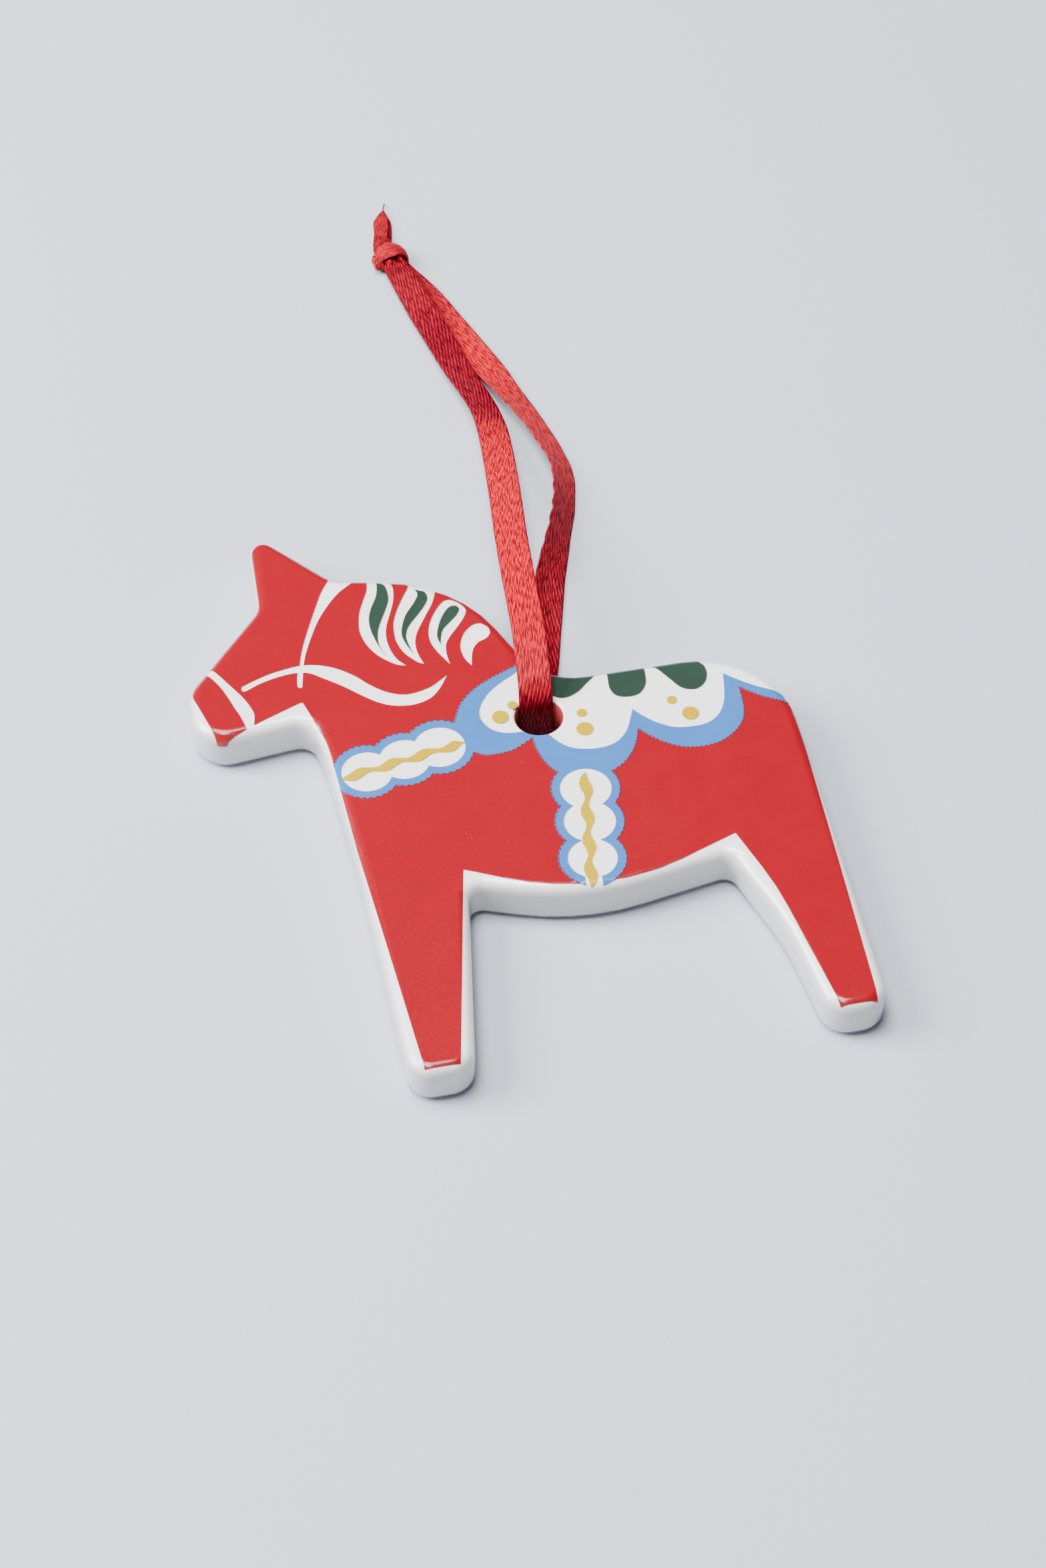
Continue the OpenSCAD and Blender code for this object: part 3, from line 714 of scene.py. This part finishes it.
@dataclass
class Ribbon:
    """The satin ribbon: a doubled strip through the hole, its knot and its tails."""

    width: float = 4.0 * MM
    thickness: float = 0.22 * MM
    hole: tuple[float, float] = (5.05, 7.05)
    knot_at: tuple[float, float] = (-2.3, 85.2)
    knot_turn: float = 14.0
    knot_length: float = 4.6
    columns: int = 12
    steps: int = 7
    # From the hole's middle in millimetres: x, y, height; the heading of the width, its tilt,
    # the share of the full width, the satin's painted shade and how frilled its edge.
    front: list[list[float]] = field(default_factory=lambda: [
        [-1.3, 80.4, 1.25, 15, 0, 0.9, 0.8, 0], [-0.2, 75.8, 1.05, 14, 0, 1, 0.85, 0],
        [1, 70.2, 1, 12, 6, 1, 0.95, 0], [2.2, 64, 1.2, 12, 12, 1, 0.9, 0],
        [3.5, 58.4, 1.7, 8, 16, 1, 0.9, 0], [4.15, 54, 2.3, 2, 16, 1, 0.85, 0],
        [4.2, 49.6, 3, -2, 10, 1, 0.12, 0], [3.7, 43.2, 4.5, -5, 4, 1, 0, 0],
        [2.9, 35.4, 6.5, -6, 0, 1, 0, 0], [2, 27.4, 8.2, -6, 0, 1, 0, 0],
        [1.3, 19, 9.3, -5, 0, 1, 0, 0], [0.85, 11.4, 9.5, -4, 0, 1, 0.02, 0],
        [0.5, 7, 8.9, -3, 0, 1, 0.1, 0], [0.25, 4, 7.9, -2, 0, 1, 0.35, 0],
        [0.1, 2.5, 6.9, -1, 0, 1, 0.7, 0], [0, 1.8, 5.9, 0, 0, 1, 0.9, 0],
        [0, 1.6, 4.6, 0, 0, 1, 1, 0], [0, 1.6, 2.8, 0, 0, 1, 1, 0],
        [0, 1.6, 1.2, 0, 0, 1, 1, 0], [0, 1.6, 0.75, 0, 0, 1, 1, 0]])
    back: list[list[float]] = field(default_factory=lambda: [
        [0, 1.8, 0.3, 0, 0, 1, 1, 0], [0.05, 2.2, 0.126, -10, 0, 1, 1, 0],
        [0.4, 4, 0.125, -12, 0, 1, 0.9, 0], [1.1, 6.6, 0.125, -16, 0, 1, 0.8, 0],
        [2.85, 12, 0.126, -16, 0, 1, 0.9, 0], [4.7, 19, 0.45, -15, 8, 1, 0.85, 0.1],
        [6.7, 25.7, 1.15, -17, 30, 1, 0.8, 0.6], [9.2, 32.4, 1.7, -18, 50, 1, 0.8, 1],
        [10.8, 37.4, 1.75, -14, 50, 1, 0.75, 0.9], [11.7, 42.8, 1.6, -2, 44, 1, 0.4, 0.3],
        [11.2, 47.2, 1.45, 10, 38, 1, 0.05, 0], [9.7, 53.2, 1.3, 18, 32, 1, 0, 0],
        [7.6, 59.8, 0.95, 22, 20, 1, 0, 0], [6.65, 63.2, 0.55, 21, 8, 1, 0, 0],
        [5.4, 66.8, 0.3, 20, 0, 1, 0.02, 0], [3.1, 73.2, 0.3, 17, 0, 1, 0.15, 0], [1, 79.4, 0.35, 16, 0, 0.9, 0.7, 0]])
    ends: list[list[float]] = field(default_factory=lambda: [
        [-2.9, 92, 0.85, 12, 6, 0.45, 0.5, 0.5], [-2.6, 94, 0.6, -6, 10, 0.5, 0.35, 0.8],
        [-2.1, 95.6, 0.45, -10, 4, 0.34, 0.4, 0.5], [-1.8, 96.9, 0.35, -10, 0, 0.08, 0.7, 0]])
    bright: Satin = field(default_factory=lambda: Satin(
        "bright_satin", Side.BRIGHT, (0.56, 0.003, 0.014, 1.0), (0.15, 0.0, 0.006, 1.0),
        (0.90, 0.05, 0.05, 1.0), 0.42, 0.0))
    twill: Satin = field(default_factory=lambda: Satin(
        "twill_satin", Side.TWILL, (0.30, 0.001, 0.012, 1.0), (0.10, 0.0, 0.006, 1.0),
        (0.55, 0.02, 0.025, 1.0), 0.5, 0.0))

    def in_knot(self, along: float, side: float, height: float) -> Vector:
        """Returns a place in the knot, in metres, from millimetres along and beside it."""
        turn = math.radians(self.knot_turn)
        return Vector((self.hole[0] + self.knot_at[0] - math.sin(turn) * along
                       + math.cos(turn) * side,
                       self.hole[1] + self.knot_at[1] + math.cos(turn) * along
                       + math.sin(turn) * side, height)) * MM

    def row(self, along: float, side: float, height: float, tilt: float, share: float,
            tone: float) -> list[float]:
        """Returns a station row for a place in the knot, from the hole's middle."""
        place = self.in_knot(along, side, height) / MM
        return [place.x - self.hole[0], place.y - self.hole[1], place.z, self.knot_turn,
                tilt, share, tone, 0]

    def stations(self, rows: list[list[float]], steps: int) -> list[Station]:
        """Turns rows of the route into finely spaced stations."""
        return [Station(Vector((self.hole[0] + r[0], self.hole[1] + r[1], r[2])) * MM,
                        math.radians(r[3]), math.radians(r[4]), r[5],
                        min(1.0, max(0.0, r[6])), max(0.0, r[7]))
                for r in rounded(rows, steps)]

    def sweep(self, name: str, stations: list[Station], thickness: float,
              faces: Sequence[bpy.types.Material], crown: float = 0.12 * MM) -> bpy.types.Object:
        """Sweeps a thin woven strip along stations.

        Args:
            name: The piece's name.
            stations: The centreline and how the strip lies on it.
            thickness: How thick the cloth is.
            faces: The bright material, for its outer side, and the twill one.
            crown: How far its middle stands above its edges.

        Returns:
            The piece, with its own UV map and its painted shade on each vertex.
        """
        bm = bmesh.new()
        uv = bm.loops.layers.uv.new("ribbon")
        tone = bm.verts.layers.float.new("tone")
        where: dict[Any, tuple[float, float]] = {}
        length = 0.0
        row: list[Any] = []
        edges: list[Any] = []
        for i, s in enumerate(stations):
            before = stations[max(0, i - 1)].place
            after = stations[min(len(stations) - 1, i + 1)].place
            along = (after - before).normalized()
            length += (s.place - before).length if i else 0.0
            level = Vector((math.cos(s.heading), math.sin(s.heading), 0.0))
            across = level * math.cos(s.tilt) - Vector((0, 0, 1)) * math.sin(s.tilt)
            across = (across - along * across.dot(along)).normalized()
            out = -across.cross(along)
            if i == 0:
                row = [bm.verts.new((0, 0, 0)) for _ in range(self.columns + 1)]
                edges = [bm.edges.new(pair) for pair in zip(row, row[1:])]
            else:
                made = bmesh.ops.extrude_edge_only(bm, edges=edges)["geom"]
                fresh = {e for e in made if isinstance(e, bmesh.types.BMEdge)
                         and all(v in made for v in e.verts) and not e.link_faces[1:]}
                follow = {}
                for old in row:
                    for e in old.link_edges:
                        other = e.other_vert(old)
                        if other in made:
                            follow[old] = other
                row = [follow[v] for v in row]
                edges = [e for e in fresh if e.verts[0] in row and e.verts[1] in row]
            for k, vertex in enumerate(row):
                u = k / self.columns
                side = (u - 0.5) * self.width * s.share
                lift = crown * (1 - (2 * u - 1) ** 2) * s.share
                wave = math.sin(length / (0.43 * MM)) * 0.16 * MM
                ripple = s.frill * wave * max(0.0, 1 - u * 2.2)
                fuzz = noise.noise(Vector((u * 3, length / (2.4 * MM), 5.0))) * 0.05 * MM
                vertex.co = s.place + across * side + out * (lift * 0.6 + ripple + fuzz)
                vertex.co.z = max(vertex.co.z, thickness * 0.52)
                # Painted shade, carried from the route to each vertex.
                vertex[tone] = s.tone
                where[vertex] = (u, length / self.width)
        for face in bm.faces:
            for loop in face.loops:
                loop[uv].uv = where[loop.vert]
            face.smooth = True
        bmesh.ops.recalc_face_normals(bm, faces=bm.faces)
        last = max(bm.faces, key=lambda f: sum(v in row for v in f.verts))
        if last.normal.dot(out) < 0:
            bmesh.ops.reverse_faces(bm, faces=bm.faces)
        piece = place_mesh(name, bm, faces)
        shell = piece.modifiers.new("cloth", "SOLIDIFY")
        shell.thickness = thickness
        shell.offset = 0.0
        shell.material_offset = shell.material_offset_rim = 1
        return piece

    def build(self, effects: Effects) -> None:
        """Builds the strip, the knot, the tails and a loose thread.

        Args:
            effects: The shared shader effects.
        """
        faces = (self.bright.build(effects), self.twill.build(effects))
        inside = len(self.front) - 2
        upper = [self.row(0, -0.1, 1.5, 0, 0.8, 0.9)] + self.front[:inside]
        lower = self.front[inside - 1:] + self.back + [self.row(0, 0.4, 0.6, 0, 0.8, 0.8)]
        knot = self.build_knot(faces)
        tails = self.build_tails(faces)
        self.lay_strand("front_strand", upper, True, 5.9, faces, knot + tails, "ribbon_loop")
        self.lay_strand("back_strand", lower, False, 0.3, faces[::-1], [])

    def lay_strand(self, name: str, rows: list[list[float]], from_knot: bool, mouth: float,
                   faces: Sequence[bpy.types.Material], on_it: list[bpy.types.Object],
                   *nodes: str) -> None:
        """Lays one strand of the ribbon between the hole and the knot.

        Args:
            name: The strand's name.
            rows: Its route.
            from_knot: Whether the route starts at the knot.
            mouth: The height at which it leaves the hole, in millimetres; not used.
            faces: The bright and the twill material.
            on_it: The pieces on its far end; not used.
            *nodes: The CAD nodes that it replaces.
        """
        stations = self.stations(rows, self.steps)
        strand = self.sweep(name, stations, self.thickness, faces)
        settle(strand, "satin", *nodes)
        path = [tuple(s.place) for s in stations]
        if from_knot:
            path.reverse()

    def turn_of_ribbon(self, name: str, middle: Vector, axis: Vector, wide: float, tall: float,
                       width: float, lean: float, start: float, sweep_angle: float,
                       faces: Sequence[bpy.types.Material]) -> bpy.types.Object:
        """Winds a short flat turn of ribbon round the knot.

        Args:
            name: The piece's name.
            middle: The turn's middle.
            axis: The direction it is wound round.
            wide: Its radius sideways.
            tall: Its radius upwards.
            width: The ribbon's bunched width there.
            lean: How far the turn creeps along the axis as it goes round.
            start: The angle that it starts at, in degrees from level.
            sweep_angle: How far round it goes, in degrees.
            faces: The bright and the twill material.

        Returns:
            The piece.
        """
        bm = bmesh.new()
        uv = bm.loops.layers.uv.new("ribbon")
        tone = bm.verts.layers.float.new("tone")
        beside = Vector((0, 0, 1)).cross(axis).normalized() * -1
        across = 6
        count = 40
        verts: list[list[Any]] = []
        for i in range(count + 1):
            angle = math.radians(start + sweep_angle * i / count)
            out = beside * math.cos(angle) * wide + Vector((0, 0, 1)) * math.sin(angle) * tall
            creep = axis * lean * (i / count - 0.5)
            pinch = 1 - 0.25 * abs(math.sin(angle * 1.5 + 0.6))
            line = []
            for k in range(across + 1):
                u = k / across - 0.5
                bulge = 1 + 0.16 * (1 - 4 * u * u) + 0.05 * math.sin(u * 19 + angle * 3)
                line.append(bm.verts.new(middle + out * bulge + creep
                                         + axis * u * width * pinch))
                # Painted shade: the turn is darker towards its edges.
                line[-1][tone] = 0.25 + 0.35 * abs(u) * 2
            verts.append(line)
        for i in range(count):
            for k in range(across):
                face = bm.faces.new((verts[i][k], verts[i + 1][k], verts[i + 1][k + 1],
                                     verts[i][k + 1]))
                face.smooth = True
                for loop, (a, b) in zip(face.loops, ((k, i), (k, i + 1), (k + 1, i + 1),
                                                     (k + 1, i))):
                    loop[uv].uv = (a / across, b / count * 2.4)
        bmesh.ops.recalc_face_normals(bm, faces=bm.faces)
        piece = place_mesh(name, bm, faces)
        shell = piece.modifiers.new("cloth", "SOLIDIFY")
        shell.thickness = 0.3 * MM
        shell.offset = 0.0
        round_off = piece.modifiers.new("soft", "SUBSURF")
        round_off.levels = round_off.render_levels = 1
        return piece

    def pulled_lump(self, name: str, middle: Vector, size: tuple[float, float, float],
                    turn: float, crease: float, seed: float,
                    material: bpy.types.Material) -> bpy.types.Object:
        """Makes a creased lump of bunched ribbon.

        Args:
            name: The piece's name.
            middle: Its middle.
            size: Its half sizes along, across and up.
            turn: Its heading in degrees.
            crease: How deep its folds are.
            seed: Picks the folds.
            material: Its finish.

        Returns:
            The piece.
        """
        bm = bmesh.new()
        uv = bm.loops.layers.uv.new("ribbon")
        tone = bm.verts.layers.float.new("tone")
        bmesh.ops.create_uvsphere(bm, u_segments=32, v_segments=20, radius=1.0)
        rows: dict[Any, tuple[float, float]] = {}
        for vertex in bm.verts:
            p = vertex.co.copy()
            angle = math.atan2(p.y, p.x)
            fold = math.sin(angle * 5 + p.z * 2.2 + seed) * 0.5 + noise.noise(
                p * 1.7 + Vector((seed, seed, 0)))
            vertex.co = p * (1 + crease * fold * (1 - 0.5 * abs(p.z)))
            # Painted shade: darker in the hollows of the folds.
            vertex[tone] = min(1.0, max(0.0, 0.45 - fold * 0.5))
            rows[vertex] = (0.5 + angle / (2 * math.pi), p.z * 0.6)
        for face in bm.faces:
            face.smooth = True
            for loop in face.loops:
                loop[uv].uv = rows[loop.vert]
        bmesh.ops.scale(bm, verts=bm.verts, vec=(size[0], size[1], size[2]))
        for vertex in bm.verts:
            a = math.radians(turn)
            x, y, z = vertex.co
            vertex.co = middle + Vector((x * math.cos(a) - y * math.sin(a),
                                         x * math.sin(a) + y * math.cos(a), z))
        bmesh.ops.recalc_face_normals(bm, faces=bm.faces)
        return place_mesh(name, bm, [material])

    def build_knot(self, faces: Sequence[bpy.types.Material]) -> list[bpy.types.Object]:
        """Builds the overhand knot from two turns and the lumps they pull up.

        Args:
            faces: The bright and the twill material.

        Returns:
            The knot's pieces.
        """
        turn = math.radians(self.knot_turn)
        axis = Vector((-math.sin(turn), math.cos(turn), 0.0))
        heading = self.knot_turn + 90
        core = self.pulled_lump("knot_core", self.in_knot(1.9, 0.2, 1.35),
                                (2.4 * MM, 1.72 * MM, 1.25 * MM), heading, 0.10, 0.4, faces[0])
        bulge = self.pulled_lump("knot_bulge", self.in_knot(1.5, -1.5, 1.1),
                                 (1.5 * MM, 0.95 * MM, 0.95 * MM), heading - 20, 0.14, 2.1,
                                 faces[0])
        wrap = self.turn_of_ribbon("knot_wrap", self.in_knot(1.35, 0.15, 1.35), axis, 1.75 * MM,
                                   1.3 * MM, 3.0 * MM, 0.7 * MM, -30, 250, faces)
        tuck = self.turn_of_ribbon("knot_tuck", self.in_knot(3.7, 0.0, 1.25), axis, 1.1 * MM,
                                   0.95 * MM, 0.8 * MM, -0.4 * MM, -20, 230, faces)
        settle(core, "satin", "ribbon_knot")
        for piece in (bulge, wrap, tuck):
            settle(piece, "satin")
        return [core, bulge, wrap, tuck]

    def build_tails(self, faces: Sequence[bpy.types.Material]) -> list[bpy.types.Object]:
        """Builds the two short tails and the thread that has come loose.

        Args:
            faces: The bright and the twill material.

        Returns:
            The tails' pieces.
        """
        rows = [self.row(4.0, -0.3, 1.3, 0, 0.45, 0.8)] + self.ends
        upper = self.sweep("upper_tail", self.stations(rows, 6), self.thickness,
                           (faces[1], faces[0]), -0.3 * MM)
        settle(upper, "satin", "ribbon_tails")
        # The lower tail lies under the upper one, with 0.3 more painted shade.
        lower_rows = [[r[0] + 0.25, r[1] - 0.9, max(0.15, r[2] - 0.4), r[3] + 8, r[4], r[5] * 1.1,
                       min(1.0, r[6] + 0.3), r[7]] for r in rows]
        lower = self.sweep("lower_tail", self.stations(lower_rows, 6), self.thickness, faces)
        settle(lower, "satin")
        thread = self.loose_thread(faces[0])
        return [upper, lower, thread]

    def loose_thread(self, material: bpy.types.Material) -> bpy.types.Object:
        """Builds the thread that stands out beyond the tails.

        Args:
            material: Its finish.

        Returns:
            The piece.
        """
        line = [(-1.95, 96.2, 0.5), (-1.75, 97.0, 0.62), (-1.6, 97.7, 0.5), (-1.45, 98.2, 0.3),
                (-1.3, 98.6, 0.12)]
        bm = bmesh.new()
        bm.loops.layers.uv.new("ribbon")
        points = [Vector((self.hole[0] + x, self.hole[1] + y, z)) * MM for x, y, z in line]
        for a, b in zip(points, points[1:]):
            made = bmesh.ops.create_cone(bm, cap_ends=True, segments=8, radius1=0.09 * MM,
                                         radius2=0.07 * MM, depth=(b - a).length * 1.05)
            bmesh.ops.rotate(bm, verts=made["verts"],
                             matrix=(b - a).to_track_quat("Z", "Y").to_matrix())
            bmesh.ops.translate(bm, verts=made["verts"], vec=(a + b) / 2)
        piece = place_mesh("loose_thread", bm, [material])
        piece.data.shade_smooth()
        return settle(piece, "satin")


# --------------------------------------------------------------------- studio


@dataclass(frozen=True)
class Softbox:
    """One soft studio lamp."""

    name: str
    place: tuple[float, float, float]
    size: float
    power: float
    colour: tuple[float, float, float] = (1.0, 1.0, 1.0)

    def build(self, target: Vector) -> None:
        """Hangs the lamp and turns it to the horse."""
        lamp = bpy.data.lights.new(self.name, "AREA")
        lamp.shape = "SQUARE"
        lamp.size = self.size
        lamp.energy = self.power
        lamp.color = self.colour
        holder = bpy.data.objects.new(self.name, lamp)
        holder.location = self.place
        holder.rotation_euler = (target - Vector(self.place)).to_track_quat(
            "-Z", "Y").to_euler()
        bpy.context.scene.collection.objects.link(holder)


@dataclass
class Studio:
    """The camera, the pale floor and soft light."""

    target: tuple[float, float, float] = (0.0011, -0.00325, 0.0060)
    azimuth: float = -11.3
    elevation: float = 50.0
    distance: float = 0.427
    lens: float = 85.0
    film: float = 36.0
    sky: Colour = (0.93, 0.96, 1.0, 1.0)
    sky_strength: float = 0.18
    lamps: tuple[Softbox, ...] = (
        Softbox("window", (-0.60, 0.16, 0.48), 0.45, 16.0, (0.96, 0.98, 1.0)),
        Softbox("overhead", (-0.12, 0.13, 0.82), 0.40, 12.0, (1.0, 0.985, 0.97)),
        Softbox("panel", (-0.14, -0.12, 0.74), 0.22, 3.2, (1.0, 0.99, 0.98)))

    def build_camera(self) -> None:
        """Places the camera on its line of sight."""
        turn, rise = math.radians(self.azimuth), math.radians(self.elevation)
        back = Vector((math.sin(turn) * math.cos(rise), -math.cos(turn) * math.cos(rise),
                       math.sin(rise)))
        target = Vector(self.target)
        data = bpy.data.cameras.new("camera")
        data.sensor_fit = "VERTICAL"
        data.sensor_height = self.film
        data.lens = self.lens
        data.clip_start = 0.01
        camera = bpy.data.objects.new("camera", data)
        camera.location = target + back * self.distance
        camera.rotation_euler = (-back).to_track_quat("-Z", "Y").to_euler()
        bpy.context.scene.collection.objects.link(camera)
        bpy.context.scene.camera = camera

    def build_light(self) -> None:
        """Sets the sky and hangs the lamps."""
        world = bpy.data.worlds.new("studio")
        world.use_nodes = True
        back = world.node_tree.nodes["Background"]
        back.inputs["Color"].default_value = self.sky
        back.inputs["Strength"].default_value = self.sky_strength
        bpy.context.scene.world = world
        for lamp in self.lamps:
            lamp.build(Vector(self.target))

    def build_floor(self) -> None:
        """Lays the floor under the horse."""
        bm = bmesh.new()
        bmesh.ops.create_grid(bm, x_segments=4, y_segments=4, size=2.0)
        floor = place_mesh("floor", bm, [backdrop_paper()])


def main() -> None:
    """Builds the horse, its ribbon and the studio."""
    logging.basicConfig(level=logging.INFO, format="%(name)s %(message)s")
    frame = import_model()
    studio = Studio()
    studio.build_camera()
    effects = Effects()
    Ribbon().build(effects)
    Plate().build(frame["nodes"], effects)
    studio.build_floor()
    studio.build_light()


if __name__ == "__main__":
    main()
